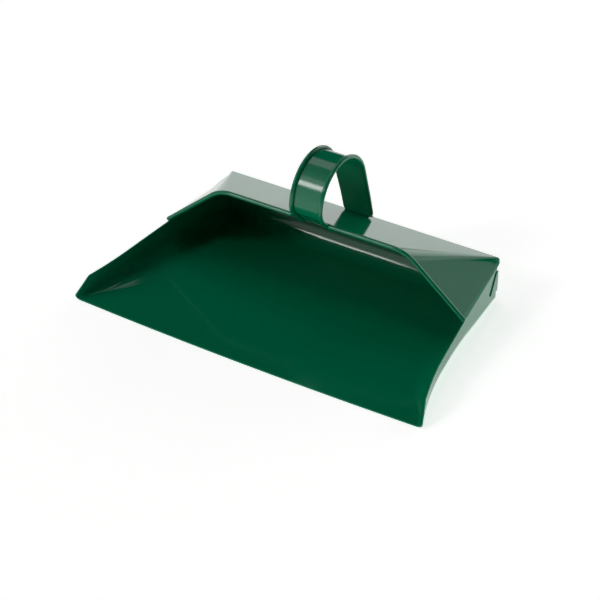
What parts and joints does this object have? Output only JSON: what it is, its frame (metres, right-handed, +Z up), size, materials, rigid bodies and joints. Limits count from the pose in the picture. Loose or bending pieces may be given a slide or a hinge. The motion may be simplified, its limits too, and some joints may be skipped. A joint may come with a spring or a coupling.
{
  "type": "dustpan",
  "caption": "Hooded dustpan of enamelled sheet steel: shallow flared pan, sloping hood over the back and a looped strap handle on top, for gathering swept dust.",
  "frame": {"origin": "middle of the overall box, at the underside of the pan's floor", "axes": "+X along the sweeping lip to the right as seen from the front, +Y from the lip to the back wall, +Z up from the floor"},
  "size_m": [0.3056, 0.174, 0.1156],
  "materials": {
    "pan_enamel": "glossy dark green stove enamel on pressed sheet steel",
    "hood_enamel": "glossy dark green stove enamel on folded sheet steel",
    "handle_enamel": "glossy dark green stove enamel on steel strap with curled edges"
  },
  "bodies": {
    "root": {"pan": "pan_enamel", "hood": "hood_enamel", "handle": "handle_enamel"}
  },
  "joints": []
}
